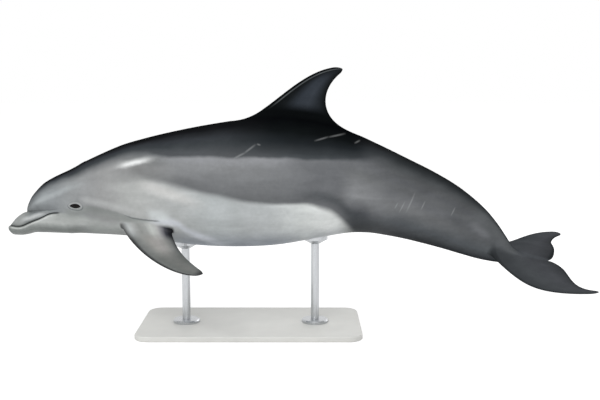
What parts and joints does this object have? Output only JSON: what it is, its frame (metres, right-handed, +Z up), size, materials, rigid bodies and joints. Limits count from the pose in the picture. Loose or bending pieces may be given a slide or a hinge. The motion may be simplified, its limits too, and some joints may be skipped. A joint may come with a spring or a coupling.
{
  "type": "bottlenose dolphin, life-size display model",
  "caption": "Life-size bottlenose dolphin in a shallow leaping arch, with falcate dorsal fin, flippers and rolled flukes, held by two short rods on a flat base.",
  "frame": {"origin": "centre of the underside of the stand's base, on the floor, below the animal's centre of mass", "axes": "+X from head to tail, +Y towards the animal's right side, +Z up"},
  "size_m": [2.6371, 0.6956, 1.204],
  "materials": {
    "skin": "smooth wet-looking grey skin, dark over the back and pale under the belly",
    "skin_dark": "smooth wet-looking slate skin of the fins and tail",
    "skin_pale": "smooth wet-looking pale grey skin of the lower jaw",
    "eye": "glossy dark brown eye",
    "stand_base": "light grey satin powder coat on aluminium plate",
    "stand_steel": "brushed stainless steel"
  },
  "bodies": {
    "root": {"lower_jaw": "skin_pale", "upper_jaw": "skin", "melon": "skin", "head": "skin", "neck": "skin", "chest": "skin", "belly": "skin", "tail_stock_front": "skin_dark", "tail_stock_rear": "skin_dark", "dorsal_fin": "skin_dark", "flipper_left": "skin_dark", "flipper_right": "skin_dark", "fluke_left": "skin_dark", "fluke_right": "skin_dark", "eye_left": "eye", "eye_right": "eye", "stand_base": "stand_base", "stand_flange_front": "stand_steel", "stand_rod_front": "stand_steel", "stand_saddle_front": "stand_steel", "stand_flange_rear": "stand_steel", "stand_rod_rear": "stand_steel", "stand_saddle_rear": "stand_steel"}
  },
  "joints": []
}
